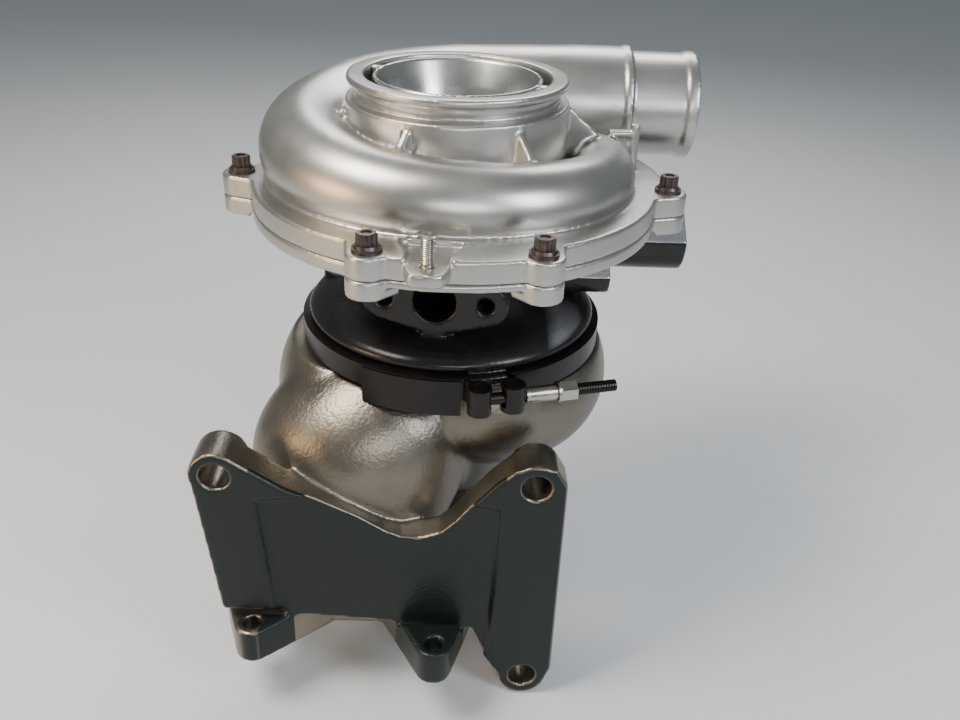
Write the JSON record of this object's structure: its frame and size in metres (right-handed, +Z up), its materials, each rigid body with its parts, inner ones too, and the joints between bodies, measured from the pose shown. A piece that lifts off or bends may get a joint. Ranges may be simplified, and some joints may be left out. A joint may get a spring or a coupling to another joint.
{
  "type": "turbocharger",
  "caption": "Radial turbocharger with scroll compressor cover, clamped bearing housing, turbine housing with a lugged mounting plate, and a spinning rotor.",
  "frame": {"origin": "centre of the turbine outlet's end face, on the rotor axis", "axes": "+Z up along the rotor axis towards the compressor inlet; -Y towards the mounting plate's face and the oil drain; +X along the compressor outlet"},
  "size_m": [0.282, 0.2668, 0.3405],
  "materials": {
    "cast_aluminium": "satin bead-blasted casting",
    "machined_aluminium": "machined",
    "black_cast_iron": "black paint, semi-gloss",
    "silver_cast_iron": "silver heat paint over cast grain",
    "black_oxide_steel": "black oxide",
    "zinc_steel": "zinc plated",
    "ground_steel": "ground",
    "bearing_bronze": "bored bronze",
    "nickel_alloy": "investment cast",
    "pressed_sheet": "pressed sheet",
    "seal_rubber": "matt"
  },
  "bodies": {
    "root": {"compressor_housing": "cast_aluminium", "compressor_backplate": "cast_aluminium", "inlet_shroud_ring": "machined_aluminium", "bearing_housing": "black_cast_iron", "turbine_housing": "silver_cast_iron", "cover_bolts": "black_oxide_steel", "cover_washers": "black_oxide_steel", "backplate_bolts": "black_oxide_steel", "vband_segments": "black_oxide_steel", "vband_strap": "black_oxide_steel", "vband_saddle": "black_oxide_steel", "trunnion": "black_oxide_steel", "tab_stud": "zinc_steel", "t_bolt": "zinc_steel", "clamp_sleeve": "zinc_steel", "clamp_nut": "zinc_steel", "dowel_pin": "zinc_steel", "seal_bush": "ground_steel", "bearing_retaining_rings": "ground_steel", "compressor_piston_ring": "ground_steel", "turbine_piston_ring": "ground_steel", "thrust_bearing": "bearing_bronze", "oil_deflector": "pressed_sheet", "heat_shield": "pressed_sheet", "backplate_seal": "seal_rubber"},
    "rotor": {"rotor_shaft": "ground_steel", "turbine_wheel": "nickel_alloy", "compressor_wheel": "machined_aluminium", "compressor_nut": "ground_steel", "thrust_collar": "ground_steel", "oil_slinger": "ground_steel"},
    "turbine_side_bush": {"journal_bearing_turbine_side": "bearing_bronze"},
    "compressor_side_bush": {"journal_bearing_compressor_side": "bearing_bronze"}
  },
  "joints": [
    {"name": "rotor_spin", "type": "hinge", "parent": "root", "child": "rotor", "pos_m": [0, 0, 0.226], "axis": [0, 0, 1], "continuous": true},
    {"name": "turbine_side_bush_spin", "type": "hinge", "parent": "root", "child": "turbine_side_bush", "pos_m": [0, 0, 0.2106], "axis": [0, 0, 1], "continuous": true},
    {"name": "compressor_side_bush_spin", "type": "hinge", "parent": "root", "child": "compressor_side_bush", "pos_m": [0, 0, 0.2416], "axis": [0, 0, 1], "continuous": true}
  ]
}
